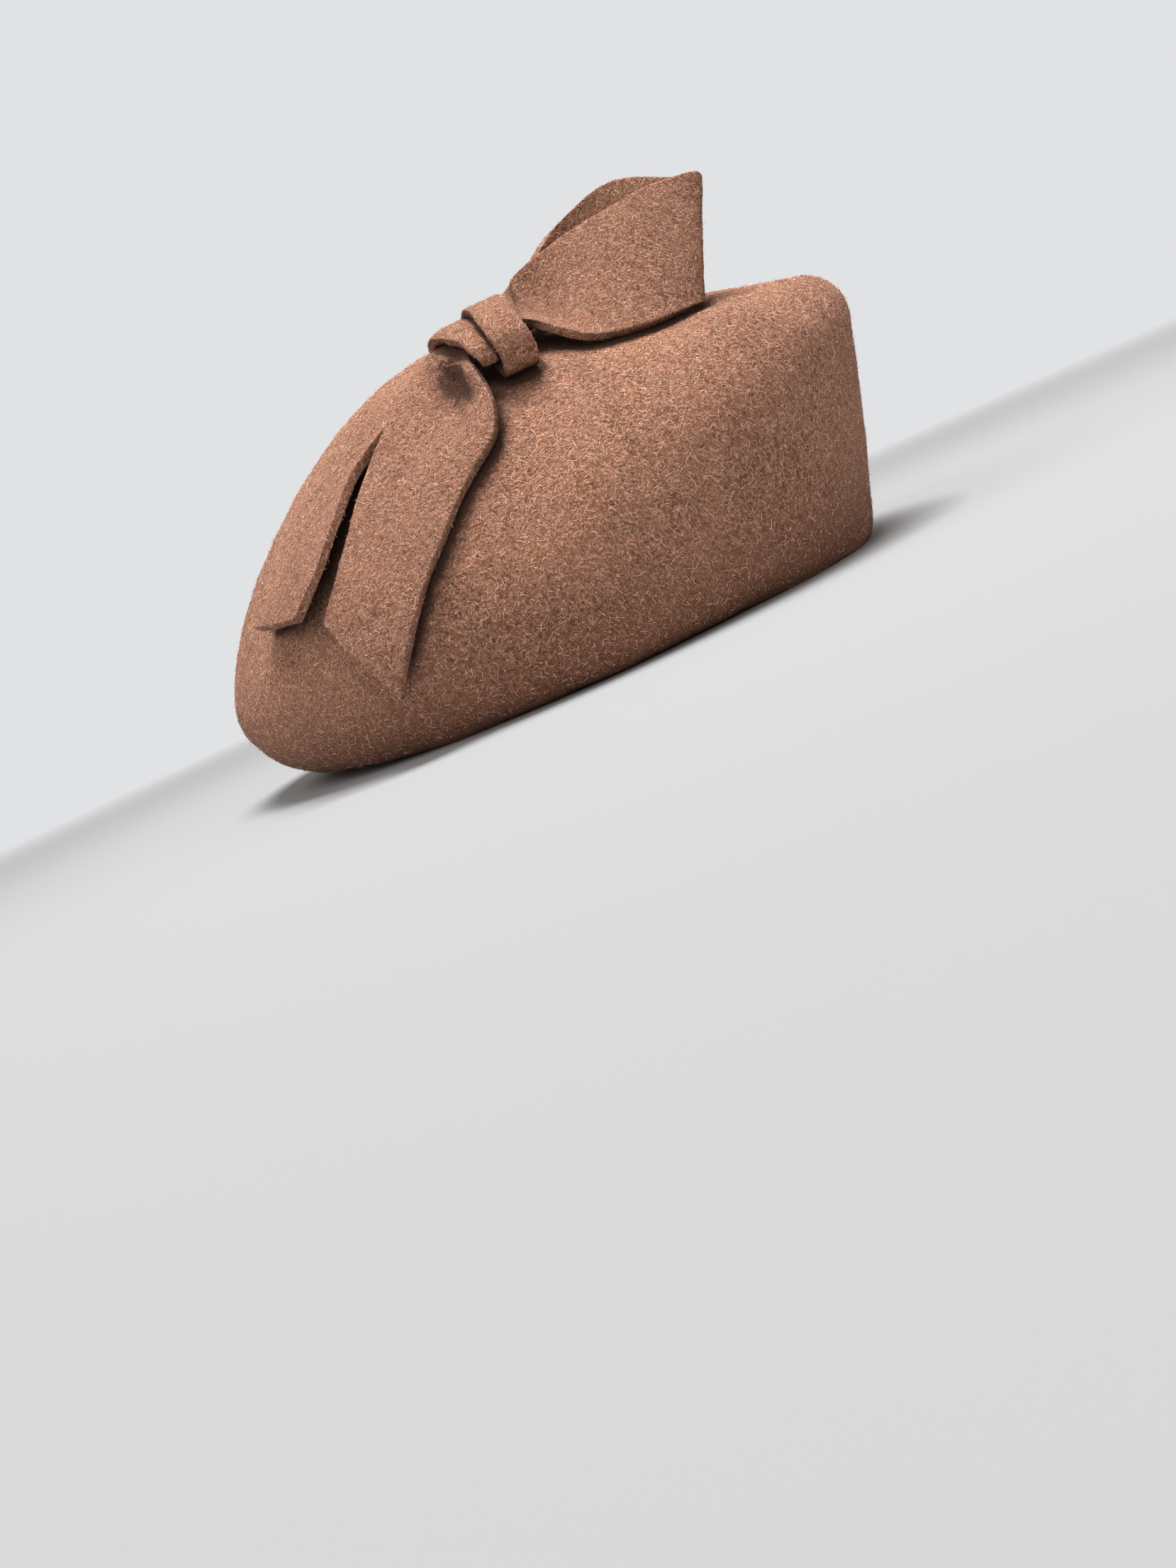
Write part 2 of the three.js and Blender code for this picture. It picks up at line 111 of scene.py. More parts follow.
class Board:
    """A node tree that is being wired, for a material or for geometry."""

    def __init__(self, tree: bpy.types.NodeTree) -> None:
        """Keep the tree and empty it."""
        self.tree = tree
        self.tree.nodes.clear()

    def node(
        self, kind: str, settings: Optional[dict[str, Any]] = None, feeds: Optional[dict[Any, Any]] = None
    ) -> bpy.types.Node:
        """Add a node: its settings first, then its sockets.

        Args:
            kind: The node's type.
            settings: Properties of the node.
            feeds: Values or wires by socket name or place.

        Returns:
            The new node.
        """
        node = self.tree.nodes.new(kind)
        for name, value in (settings or {}).items():
            setattr(node, name, value)
        for key, value in (feeds or {}).items():
            self.feed(self.inlet(node, key), value)
        return node

    @staticmethod
    def inlet(node: bpy.types.Node, key: Union[int, str]) -> bpy.types.NodeSocket:
        """Find an input socket.

        Args:
            node: The node.
            key: The socket's place, or its name among the sockets in use.

        Returns:
            The socket.
        """
        if isinstance(key, int):
            return node.inputs[key]
        return next(s for s in node.inputs if s.name == key and s.enabled)

    def feed(self, socket: bpy.types.NodeSocket, value: Any) -> None:
        """Set a socket to a value, or link a wire to it.

        Args:
            socket: The input socket.
            value: The value or wire.
        """
        if isinstance(value, Wire):
            self.tree.links.new(value.socket, socket)
        else:
            socket.default_value = value

    def wire(
        self,
        kind: str,
        settings: Optional[dict[str, Any]] = None,
        feeds: Optional[dict[Any, Any]] = None,
        outlet: Optional[str] = None,
    ) -> Wire:
        """Add a node and return one of its outputs.

        Args:
            kind: The node's type.
            settings: Properties of the node.
            feeds: Values or wires by socket name or place.
            outlet: The output's name, or None for the first in use.

        Returns:
            The output as a wire.
        """
        node = self.node(kind, settings, feeds)
        socket = next(s for s in node.outputs if s.enabled and (outlet is None or s.name == outlet))
        return Wire(self, socket)

    def ramp(self, value: Wire, low: float, high: float) -> Wire:
        """Turn low..high of a value into a soft 0..1.

        Args:
            value: The value.
            low: Where the result is 0.
            high: Where the result is 1.

        Returns:
            The mask.
        """
        return self.wire(
            "ShaderNodeMapRange",
            {"interpolation_type": "SMOOTHSTEP"},
            {"Value": value, "From Min": low, "From Max": high},
            "Result",
        )

    def blend(self, share: Any, first: Any, second: Any) -> Wire:
        """Mix two colours.

        Args:
            share: How much of the second there is.
            first: A colour or a wire.
            second: A colour or a wire.

        Returns:
            The mixed colour.
        """
        node = self.node("ShaderNodeMix", {"data_type": "RGBA"})
        self.feed(self.inlet(node, "Factor"), share)
        self.feed(self.inlet(node, "A"), first if isinstance(first, Wire) else (*first, 1.0))
        self.feed(self.inlet(node, "B"), second if isinstance(second, Wire) else (*second, 1.0))
        return Wire(self, next(s for s in node.outputs if s.enabled))


@dataclass(frozen=True)
class Cloud:
    """A kind of smooth noise: the size of its lumps, its finer octaves and their strength."""

    size: float
    detail: float = 1.0
    roughness: float = 0.55


class Paint(Board):
    """The node tree of one material, with its Principled shader."""

    # Painted shade: where the depth ramps in, how much the colour darkens, and the colour of the shade.
    PAINTED_SHADE_RAMP = (0.06, 0.62)
    PAINTED_SHADE_SHARE = 0.9
    PAINTED_SHADE_COLOUR: Colour = (0.040, 0.014, 0.008)

    def __init__(self, name: str) -> None:
        """Make the material and its output.

        Args:
            name: The material's name.
        """
        self.material = bpy.data.materials.new(name)
        self.material.use_nodes = True
        super().__init__(self.material.node_tree)
        self.shader = self.node("ShaderNodeBsdfPrincipled")
        self.outlet = self.node("ShaderNodeOutputMaterial")
        self.tree.links.new(self.shader.outputs[0], self.outlet.inputs["Surface"])

    def place(self) -> Wire:
        """Return the piece's own coordinates, in metres."""
        return self.wire("ShaderNodeTexCoord", outlet="Object")

    def cloud(self, place: Wire, kind: Cloud) -> Wire:
        """Add smooth noise.

        Args:
            place: The coordinates.
            kind: The kind of noise.

        Returns:
            The noise, about 0.5 on average.
        """
        feeds = {
            "Vector": place,
            "Scale": 1.0 / kind.size,
            "Detail": kind.detail,
            "Roughness": kind.roughness,
        }
        return self.wire("ShaderNodeTexNoise", {"noise_dimensions": "3D"}, feeds)

    def stirred(self, place: Wire, size: float, reach: float) -> Wire:
        """Bend coordinates by noise, so that straight streaks curl.

        Args:
            place: The coordinates.
            size: The size of the bends in metres.
            reach: How far a point is moved in metres.

        Returns:
            The bent coordinates.
        """
        feeds = {"Vector": place, "Scale": 1.0 / size, "Detail": 1.0}
        shift = self.wire("ShaderNodeTexNoise", {"noise_dimensions": "3D"}, feeds, "Color")
        centred = self.wire("ShaderNodeVectorMath", {"operation": "SUBTRACT"}, {0: shift, 1: (0.5,) * 3})
        scaled = self.wire("ShaderNodeVectorMath", {"operation": "SCALE"}, {0: centred, "Scale": 2 * reach})
        return self.wire("ShaderNodeVectorMath", {"operation": "ADD"}, {0: place, 1: scaled})

    def streaks(self, place: Wire, turn: Sequence[float], length: float, width: float) -> Wire:
        """Add noise that is drawn out one way.

        Args:
            place: The coordinates.
            turn: The way it is drawn out, as Euler degrees.
            length: The streaks' length in metres.
            width: The streaks' width in metres.

        Returns:
            The noise, about 0.5 on average.
        """
        feeds = {
            "Vector": place,
            "Rotation": tuple(math.radians(t) for t in turn),
            "Scale": (length, width, width),
        }
        drawn = self.wire("ShaderNodeMapping", {"vector_type": "TEXTURE"}, feeds)
        return self.wire("ShaderNodeTexNoise", {}, {"Vector": drawn, "Scale": 1.0, "Detail": 1.0})

    def folded(self, colour: Wire) -> Wire:
        """Darken a colour as painted shade where the felt lies deep in folds, hollows and gaps.

        Args:
            colour: The colour of open felt.

        Returns:
            The colour.
        """
        fold = self.wire("ShaderNodeAttribute", {"attribute_name": OCCLUSION}, outlet="Fac")
        return self.blend(self.ramp(fold, *self.PAINTED_SHADE_RAMP) * self.PAINTED_SHADE_SHARE, colour, self.PAINTED_SHADE_COLOUR)


# ---------------------------------------------------------------- finishes


@dataclass(frozen=True)
class Sheen:
    """The dry glow of wool nap where it is seen edge on."""

    weight: float
    roughness: float
    tint: Colour

    def put_on(self, shader: bpy.types.Node) -> None:
        """Set the shader's sheen sockets.

        Args:
            shader: The Principled shader.
        """
        shader.inputs["Sheen Weight"].default_value = self.weight
        shader.inputs["Sheen Roughness"].default_value = self.roughness
        shader.inputs["Sheen Tint"].default_value = (*self.tint, 1.0)


@dataclass(frozen=True)
class WoolFelt:
    """Marled wool felt: matted fibres of several shades under a short nap."""

    name: str
    dark: Colour
    middle: Colour
    light: Colour
    sheen: Sheen
    streak_length: float
    streak_width: float
    relief: float
    # Painted shade: how far the colour darkens towards the bottom edge.
    bottom_shade_share: float = 0.0

    # Painted shade: the height over which the colour darkens towards the bottom edge.
    BOTTOM_SHADE_HEIGHT = 34 * MILLIMETRE
    BEND_SIZE = 5 * MILLIMETRE
    BEND_REACH = 1.4 * MILLIMETRE
    BLOTCH = Cloud(30 * MILLIMETRE, detail=2.0)
    MARL = Cloud(1.7 * MILLIMETRE, detail=2.0, roughness=0.6)
    GRAIN = Cloud(0.9 * MILLIMETRE, roughness=0.5)
    GROUND_RAMP = (0.34, 0.56)
    GRAIN_RAMP = (0.45, 0.75)
    STRAND_RAMP = (0.57, 0.68)
    MARL_IN_GROUND = 0.65
    BLOTCH_IN_GROUND = 0.35
    GRAIN_SHARE = 0.55
    DEEP_SHARE = 0.45
    PALE_SHARE = 0.6
    PALE_RISE = 0.6
    GRAIN_RISE = 0.7
    MARL_RISE = 0.9
    DEEP_FALL = 0.5
    ROUGHNESS = 0.94
    PALE_SMOOTHER = 0.1
    SPECULAR = 0.12
    PALE_TURNS = ((0, 0, 25), (35, 60, -20), (-50, 15, 80), (80, -40, 140))
    DARK_TURNS = ((20, 30, 100), (-30, 75, 10), (60, 0, -60))

    def material(self) -> bpy.types.Material:
        """Build the felt.

        Returns:
            The material.
        """
        paint = Paint(self.name)
        place = paint.place()
        bent = paint.stirred(place, self.BEND_SIZE, self.BEND_REACH)
        pale = self._strands(paint, bent, self.PALE_TURNS)
        deep = self._strands(paint, bent, self.DARK_TURNS)
        blotch = paint.cloud(place, self.BLOTCH)
        marl = paint.cloud(bent, self.MARL)
        grain = paint.cloud(place, self.GRAIN)
        cover = marl * self.MARL_IN_GROUND + blotch * self.BLOTCH_IN_GROUND
        ground = paint.blend(paint.ramp(cover, *self.GROUND_RAMP), self.dark, self.middle)
        grained = paint.ramp(grain, *self.GRAIN_RAMP) * self.GRAIN_SHARE
        marled = paint.blend(grained, ground, self.light)
        shaded = paint.blend(deep * self.DEEP_SHARE, marled, self.dark)
        flecked = paint.blend(pale * self.PALE_SHARE, shaded, self.light)
        # Painted shade: darker towards the crown's bottom edge.
        above_floor = paint.wire("ShaderNodeSeparateXYZ", {}, {"Vector": place}, "Z")
        bottom_shade = (1.0 - paint.ramp(above_floor, 0.0, self.BOTTOM_SHADE_HEIGHT)) * self.bottom_shade_share
        bottom_shaded = paint.blend(bottom_shade, flecked, self.dark)
        # Painted shade in folds, hollows and gaps, from the occlusion depth.
        paint.feed(paint.shader.inputs["Base Color"], paint.folded(bottom_shaded))
        raised = pale * self.PALE_RISE + grain * self.GRAIN_RISE + marl * self.MARL_RISE
        height = raised - deep * self.DEEP_FALL
        bump = paint.wire(
            "ShaderNodeBump",
            {},
            {"Strength": 1.0, "Distance": self.relief, "Height": height},
        )
        paint.feed(paint.shader.inputs["Normal"], bump)
        paint.feed(paint.shader.inputs["Roughness"], self.ROUGHNESS - pale * self.PALE_SMOOTHER)
        paint.shader.inputs["Specular IOR Level"].default_value = self.SPECULAR
        self.sheen.put_on(paint.shader)
        return paint.material

    def _strands(self, paint: Paint, place: Wire, turns: Sequence[Sequence[float]]) -> Wire:
        """Lay thin streaks several ways over each other.

        Args:
            paint: The material being wired.
            place: The coordinates.
            turns: The ways they run, as Euler degrees.

        Returns:
            A mask that is 1 on the streaks.
        """
        mask: Optional[Wire] = None
        for turn in turns:
            streak = paint.streaks(place, turn, self.streak_length, self.streak_width)
            line = paint.ramp(streak, *self.STRAND_RAMP)
            mask = line if mask is None else mask.highest(line)
        return mask


@dataclass(frozen=True)
class LooseFibre:
    """Single wool fibres, each with a shade of its own."""

    name: str
    dark: Colour
    light: Colour
    sheen: Sheen

    SHADE = "shade"
    FLECK = Cloud(1.2 * MILLIMETRE)
    OWN_SHADE = 0.85
    FLECK_SHADE = 0.3
    SHADE_RAMP = (0.1, 1.05)
    ROUGHNESS = 0.75
    FLECK_ROUGHER = 0.2
    SPECULAR = 0.15

    def material(self) -> bpy.types.Material:
        """Build the fibre's material.

        Returns:
            The material.
        """
        paint = Paint(self.name)
        shade = paint.wire("ShaderNodeAttribute", {"attribute_name": self.SHADE}, outlet="Fac")
        fleck = paint.cloud(paint.place(), self.FLECK)
        mixed = shade * self.OWN_SHADE + fleck * self.FLECK_SHADE
        colour = paint.blend(paint.ramp(mixed, *self.SHADE_RAMP), self.dark, self.light)
        # Painted shade on the fibres in folds and hollows, as on the felt.
        paint.feed(paint.shader.inputs["Base Color"], paint.folded(colour))
        paint.feed(paint.shader.inputs["Roughness"], self.ROUGHNESS + fleck * self.FLECK_ROUGHER)
        paint.shader.inputs["Specular IOR Level"].default_value = self.SPECULAR
        self.sheen.put_on(paint.shader)
        return paint.material


class Finish(Enum):
    """The finishes of the hat, each made once."""

    CROWN = WoolFelt(
        name="crown_wool_felt",
        dark=(0.165, 0.057, 0.028),
        middle=(0.415, 0.176, 0.098),
        light=(0.72, 0.41, 0.285),
        sheen=Sheen(0.14, 0.36, (0.88, 0.64, 0.52)),
        streak_length=3.6 * MILLIMETRE,
        streak_width=0.52 * MILLIMETRE,
        relief=0.8 * MILLIMETRE,
        # painted shade towards the bottom edge
        bottom_shade_share=0.6,
    )
    BOW = WoolFelt(
        name="bow_wool_felt",
        dark=(0.155, 0.058, 0.031),
        middle=(0.355, 0.156, 0.092),
        light=(0.63, 0.350, 0.240),
        sheen=Sheen(0.14, 0.36, (0.88, 0.64, 0.52)),
        streak_length=3.2 * MILLIMETRE,
        streak_width=0.48 * MILLIMETRE,
        relief=0.7 * MILLIMETRE,
    )
    NAP = LooseFibre(
        name="lying_wool_fibre",
        dark=(0.26, 0.104, 0.058),
        light=(0.86, 0.535, 0.395),
        sheen=Sheen(0.1, 0.5, (0.9, 0.68, 0.56)),
    )
    STRAY = LooseFibre(
        name="stray_wool_fibre",
        dark=(0.33, 0.16, 0.10),
        light=(0.70, 0.47, 0.36),
        sheen=Sheen(0.2, 0.5, (0.9, 0.74, 0.66)),
    )

    def material(self) -> bpy.types.Material:
        """Return the finish's material, making it the first time."""
        made = bpy.data.materials.get(self.value.name)
        return made or self.value.material()


# ---------------------------------------------------------------- felt pieces


@dataclass(frozen=True)
class Ripple:
    """Gentle unevenness of pressed felt."""

    size: float
    depth: float
    seed: float

    ASIDE = (3.7, -1.3)

    def at(self, place: Vector) -> float:
        """Find how far a point is pushed out.

        Args:
            place: The point.

        Returns:
            The distance in metres.
        """
        return self.depth * noise.noise(place / self.size + Vector((self.seed, *self.ASIDE)))


@dataclass
class FeltPiece:
    """A visible felt piece that stands for one CAD node."""

    node: str
    name: str
    slot: str
    finish: Finish
    levels: int
    ripples: tuple[Ripple, ...]
    edge_crease: float = 0.0

    EDGE_ANGLE = math.radians(50)
    FLAT_WITHIN = math.radians(35)
    SQUARE_WITHIN = math.radians(70)
    MERGE = 0.02 * MILLIMETRE

    def build(self) -> bpy.types.Object:
        """Make the piece and hide its node.

        Returns:
            The piece.
        """
        piece = self._smoothed(self._cage())
        self._ripple(piece.data)
        piece.data.materials.clear()
        piece.data.materials.append(self.finish.material())
        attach(piece, "root")
        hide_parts(self.node)
        log.info("%s stands for %s: %d faces", self.name, self.node, len(piece.data.polygons))
        return piece

    def _cage(self) -> bpy.types.Mesh:
        """Copy the node's mesh as a closed cage of four-sided faces.

        Returns:
            The cage.
        """
        cage = bpy.data.meshes.new(self.name + "_cage")
        work = bmesh.new()
        work.from_mesh(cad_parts[self.node].data)
        bmesh.ops.remove_doubles(work, verts=work.verts, dist=self.MERGE)
        bmesh.ops.join_triangles(
            work,
            faces=work.faces,
            angle_face_threshold=self.FLAT_WITHIN,
            angle_shape_threshold=self.SQUARE_WITHIN,
        )
        crease = work.edges.layers.float.new("crease_edge")
        for edge in work.edges:
            if edge.is_manifold and edge.calc_face_angle(0.0) > self.EDGE_ANGLE:
                edge[crease] = self.edge_crease
        for face in work.faces:
            face.smooth = True
        work.to_mesh(cage)
        work.free()
        return cage

    def _smoothed(self, cage: bpy.types.Mesh) -> bpy.types.Object:
        """Subdivide the cage.

        Args:
            cage: The cage.

        Returns:
            The piece, with a plain mesh.
        """
        piece = bpy.data.objects.new(self.name, cage)
        bpy.context.scene.collection.objects.link(piece)
        smooth = piece.modifiers.new("smooth", "SUBSURF")
        smooth.levels = self.levels
        smooth.render_levels = self.levels
        settle(piece)
        return piece

    def _ripple(self, mesh: bpy.types.Mesh) -> None:
        """Push the felt in and out a little along its normals.

        Args:
            mesh: The felt's mesh.
        """
        pushes = [v.normal * sum(r.at(v.co) for r in self.ripples) for v in mesh.vertices]
        for vertex, push in zip(mesh.vertices, pushes):
            vertex.co += push
        mesh.update()


def settle(piece: bpy.types.Object) -> None:
    """Turn a piece's modifiers into a plain mesh.

    Args:
        piece: The piece.
    """
    view = bpy.context.evaluated_depsgraph_get()
    before = piece.data
    piece.data = bpy.data.meshes.new_from_object(
        piece.evaluated_get(view), preserve_all_data_layers=True, depsgraph=view
    )
    piece.data.name = piece.name
    piece.modifiers.clear()
    bpy.data.meshes.remove(before)


@dataclass(frozen=True)
class Look:
    """How far to look out from felt, and how soon a fold counts as deep, for the painted shade."""

    reach: float
    gain: float
    gain_at_knot: float


class Folds:
    """Marks how deep each point of the felt lies in a fold, by looking out from it; the materials darken
    deep points as painted shade.
    """

    START = 0.25 * MILLIMETRE
    SIGHTS = 18
    GOLDEN_TURN = math.radians(137.508)
    # Near the knot the painted shade is made stronger; this is how far that reaches.
    KNOT_REACH = 24 * MILLIMETRE

    def __init__(self, pieces: Sequence[bpy.types.Object], knot: bpy.types.Object) -> None:
        """Gather the felt that can close in on itself.

        Args:
            pieces: All felt pieces.
            knot: The piece that gathers the felt.
        """
        corners = [Vector(c) for c in knot.bound_box]
        self.knot = sum(corners, Vector()) / len(corners)
        points: list[Vector] = []
        faces: list[list[int]] = []
        for piece in pieces:
            first = len(points)
            points.extend(v.co.copy() for v in piece.data.vertices)
            faces.extend([first + i for i in f.vertices] for f in piece.data.polygons)
        self.tree = BVHTree.FromPolygons(points, faces)
        self.sights = [self._sight(i) for i in range(self.SIGHTS)]

    def _sight(self, index: int) -> Vector:
        """Choose one of the ways to look out over a surface that faces up.

        Args:
            index: Its number.

        Returns:
            The way, of unit length.
        """
        out = math.sqrt((index + 0.5) / self.SIGHTS)
        turn = index * self.GOLDEN_TURN
        return Vector((out * math.cos(turn), out * math.sin(turn), math.sqrt(1 - out * out)))

    def _depth(self, vertex: bpy.types.MeshVertex, reach: float) -> float:
        """Find how closed in a point is.

        Args:
            vertex: The point.
            reach: How far to look.

        Returns:
            The depth, from 0 in the open to 1.
        """
        turn = vertex.normal.to_track_quat("Z", "Y").to_matrix()
        start = vertex.co + vertex.normal * self.START
        closed = 0.0
        for sight in self.sights:
            distance = self.tree.ray_cast(start, turn @ sight, reach)[3]
            if distance is not None:
                closed += 1.0 - distance / reach
        return closed / self.SIGHTS

    def mark(self, piece: bpy.types.Object, near: Sequence[bpy.types.Object], look: Look) -> None:
        """Write the depth to each point of a piece.

        Args:
            piece: The piece.
            near: Only points near these pieces can lie in a fold.
            look: How far to look, and how soon a fold counts as deep.
        """
        corners = [Vector(c) for other in near for c in other.bound_box]
        low = [min(c[i] for c in corners) - look.reach for i in range(3)]
        high = [max(c[i] for c in corners) + look.reach for i in range(3)]
        layer = piece.data.attributes.new(OCCLUSION, "FLOAT", "POINT")
        for vertex, value in zip(piece.data.vertices, layer.data):
            if all(low[i] < vertex.co[i] < high[i] for i in range(3)):
                # Painted shade grows stronger near the knot.
                off = (vertex.co - self.knot).length / self.KNOT_REACH
                gain = look.gain + (look.gain_at_knot - look.gain) * math.exp(-off * off)
                value.value = min(1.0, gain * self._depth(vertex, look.reach))


# ---------------------------------------------------------------- nap


@dataclass(frozen=True)
class Nap:
    """One kind of fibre on felt, laid by Geometry Nodes."""

    per_square_metre: float
    shortest: float
    longest: float
    width: float
    arch: float
    lean: float
    tilt: float
    curl: float
    seed: int
    finish: Finish
    joints: int = 3

    ENTRY = 0.4  # how far from its middle a fibre enters the felt, as a share of its length
    RISE = 4.0  # makes the arch the height of the middle above the ends
    CURL_SIZE = 3.2 * MILLIMETRE
    CURL_SPREAD = 90.0  # how far apart the fibres lie in the noise that curls them
    INLETS = (
        ("Density", "NodeSocketFloat"),
        ("Shortest", "NodeSocketFloat"),
        ("Longest", "NodeSocketFloat"),
        ("Width", "NodeSocketFloat"),
        ("Arch", "NodeSocketFloat"),
        ("Lean", "NodeSocketFloat"),
        ("Tilt", "NodeSocketFloat"),
        ("Curl", "NodeSocketFloat"),
        ("Joints", "NodeSocketInt"),
        ("Seed", "NodeSocketInt"),
        ("Finish", "NodeSocketMaterial"),
    )
    TREE = "felt_nap"

    def lay(
        self,
        name: str,
        felt: Sequence[bpy.types.Object],
        bare: Optional[Callable[[bmesh.types.BMFace], bool]] = None,
    ) -> bpy.types.Object:
        """Lay fibres over some felt.

        Args:
            name: The name of the new piece.
            felt: The felt pieces that carry the fibres.
            bare: Says which faces carry no fibres, or None where all do.

        Returns:
            The fibres as one piece.
        """
        fibres = bpy.data.objects.new(name, self._ground(name, felt, bare))
        bpy.context.scene.collection.objects.link(fibres)
        grow = fibres.modifiers.new("grow", "NODES")
        grow.node_group = bpy.data.node_groups.get(self.TREE) or self._tree()
        inlets = {i.name: i.identifier for i in grow.node_group.interface.items_tree}
        values = {
            "Density": self.per_square_metre,
            "Shortest": self.shortest,
            "Longest": self.longest,
            "Width": self.width,
            "Arch": self.arch,
            "Lean": self.lean,
            "Tilt": self.tilt,
            "Curl": self.curl,
            "Joints": self.joints,
            "Seed": self.seed,
            "Finish": self.finish.material(),
        }
        for label, value in values.items():
            grow[inlets[label]] = value
        settle(fibres)
        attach(fibres, "root")
        log.info("%s: %d faces", name, len(fibres.data.polygons))
        return fibres

    @staticmethod
    def _ground(
        name: str,
        felt: Sequence[bpy.types.Object],
        bare: Optional[Callable[[bmesh.types.BMFace], bool]],
    ) -> bpy.types.Mesh:
        """Join copies of some felt, without the faces that stay bare.

        Args:
            name: The new piece's name.
            felt: The felt pieces.
            bare: Says which faces carry no fibres, or None where all do.

        Returns:
            The mesh that fibres stand on.
        """
        work = bmesh.new()
        for piece in felt:
            work.from_mesh(piece.data)
        if bare is not None:
            bmesh.ops.delete(work, geom=[f for f in work.faces if bare(f)], context="FACES")
        mesh = bpy.data.meshes.new(name + "_ground")
        work.to_mesh(mesh)
        work.free()
        return mesh

    def _tree(self) -> bpy.types.NodeTree:
        """Build the tree that scatters, bends and shades fibres.

        Returns:
            The tree.
        """
        tree = bpy.data.node_groups.new(self.TREE, "GeometryNodeTree")
        sides = tree.interface
        sides.new_socket("Geometry", in_out="INPUT", socket_type="NodeSocketGeometry")
        for label, kind in self.INLETS:
            sides.new_socket(label, in_out="INPUT", socket_type=kind)
        sides.new_socket("Geometry", in_out="OUTPUT", socket_type="NodeSocketGeometry")
        board = Board(tree)
        given = board.node("NodeGroupInput")
        inlet = {s.name: Wire(board, s) for s in given.outputs if s.name}
        seed = inlet["Seed"]
        scatter = board.node(
            "GeometryNodeDistributePointsOnFaces",
            {"distribute_method": "RANDOM"},
            {"Mesh": inlet["Geometry"], "Density": inlet["Density"], "Seed": seed},
        )
        points = Wire(board, scatter.outputs["Points"])
        upright = Wire(board, scatter.outputs["Rotation"])
        length = self._chance(board, inlet["Shortest"], inlet["Longest"], seed + 1)
        turn = self._chance(board, -math.pi, math.pi, seed + 2)
        lean = self._chance(board, inlet["Lean"] * -1.0, inlet["Lean"], seed + 3)
        tilt = self._chance(board, inlet["Tilt"] * -1.0, inlet["Tilt"], seed + 4)
        spun = self._turned(board, upright, {"Z": turn})
        aimed = self._turned(board, spun, {"X": lean, "Y": tilt})
        size = board.wire("ShaderNodeCombineXYZ", {}, {"X": length, "Y": inlet["Width"], "Z": length})
        placed = board.wire(
            "GeometryNodeInstanceOnPoints",
            {},
            {
                "Points": points,
                "Instance": self._strand(board, inlet["Arch"], inlet["Joints"]),
                "Rotation": aimed,
                "Scale": size,
            },
        )
        shaded = board.wire(
            "GeometryNodeStoreNamedAttribute",
            {"data_type": "FLOAT", "domain": "INSTANCE"},
            {
                "Geometry": placed,
                "Name": LooseFibre.SHADE,
                "Value": self._chance(board, 0.0, 1.0, seed + 5),
            },
        )
        loose = board.wire("GeometryNodeRealizeInstances", {}, {"Geometry": shaded})
        curled = board.wire(
            "GeometryNodeSetPosition",
            {},
            {"Geometry": loose, "Offset": self._curls(board, inlet["Curl"])},
        )
        dressed = board.wire(
            "GeometryNodeSetMaterial", {}, {"Geometry": curled, "Material": inlet["Finish"]}
        )
        board.node("NodeGroupOutput", {}, {"Geometry": dressed})
        return tree

    @staticmethod
    def _chance(board: Board, low: Any, high: Any, seed: Wire) -> Wire:
        """Add a random number for each fibre.

        Args:
            board: The tree.
            low: The lowest value.
            high: The highest value.
            seed: The seed.

        Returns:
            The number.
        """
        return board.wire(
            "FunctionNodeRandomValue", {"data_type": "FLOAT"}, {"Min": low, "Max": high, "Seed": seed}
        )

    @staticmethod
    def _turned(board: Board, rotation: Wire, angles: dict[str, Wire]) -> Wire:
        """Turn a rotation further in its own axes.

        Args:
            board: The tree.
            rotation: The rotation so far.
            angles: Angles in radians by axis.

        Returns:
            The new rotation.
        """
        euler = board.wire("ShaderNodeCombineXYZ", {}, angles)
        by = board.wire("FunctionNodeEulerToRotation", {}, {"Euler": euler})
        return board.wire(
            "FunctionNodeRotateRotation",
            {"rotation_space": "LOCAL"},
            {"Rotation": rotation, "Rotate By": by},
        )

    @staticmethod
    def _strand(board: Board, arch: Wire, joints: Wire) -> Wire:
        """Make one fibre of unit length and width, arched along its length.

        Args:
            board: The tree.
            arch: The height of its middle above its ends, as a share of its length.
            joints: How many cuts there are across it, its ends among them.

        Returns:
            The fibre's mesh.
        """
        strip = board.wire(
            "GeometryNodeMeshGrid",
            {},
            {"Size X": 1.0, "Size Y": 1.0, "Vertices X": joints, "Vertices Y": 2},
            "Mesh",
        )
        place = board.wire("GeometryNodeInputPosition")
        along = board.wire("ShaderNodeSeparateXYZ", {}, {"Vector": place}, "X")
        rise = (Nap.ENTRY**2 - along * along) * Nap.RISE * arch
        offset = board.wire("ShaderNodeCombineXYZ", {}, {"Z": rise})
        return board.wire("GeometryNodeSetPosition", {}, {"Geometry": strip, "Offset": offset})

    @staticmethod
    def _curls(board: Board, curl: Wire) -> Wire:
        """Bend each fibre its own way.

        Args:
            board: The tree.
            curl: How far its points move, in metres.

        Returns:
            The offset of each point.
        """
        shade = board.wire(
            "GeometryNodeInputNamedAttribute", {"data_type": "FLOAT"}, {"Name": LooseFibre.SHADE}
        )
        place = board.wire("GeometryNodeInputPosition")
        feeds = {
            "Vector": place,
            "W": shade * Nap.CURL_SPREAD,
            "Scale": 1.0 / Nap.CURL_SIZE,
            "Detail": 0.0,
        }
        drift = board.wire("ShaderNodeTexNoise", {"noise_dimensions": "4D"}, feeds, "Color")
        centred = board.wire("ShaderNodeVectorMath", {"operation": "SUBTRACT"}, {0: drift, 1: (0.5,) * 3})
        return board.wire("ShaderNodeVectorMath", {"operation": "SCALE"}, {0: centred, "Scale": curl})


# ---------------------------------------------------------------- the hat


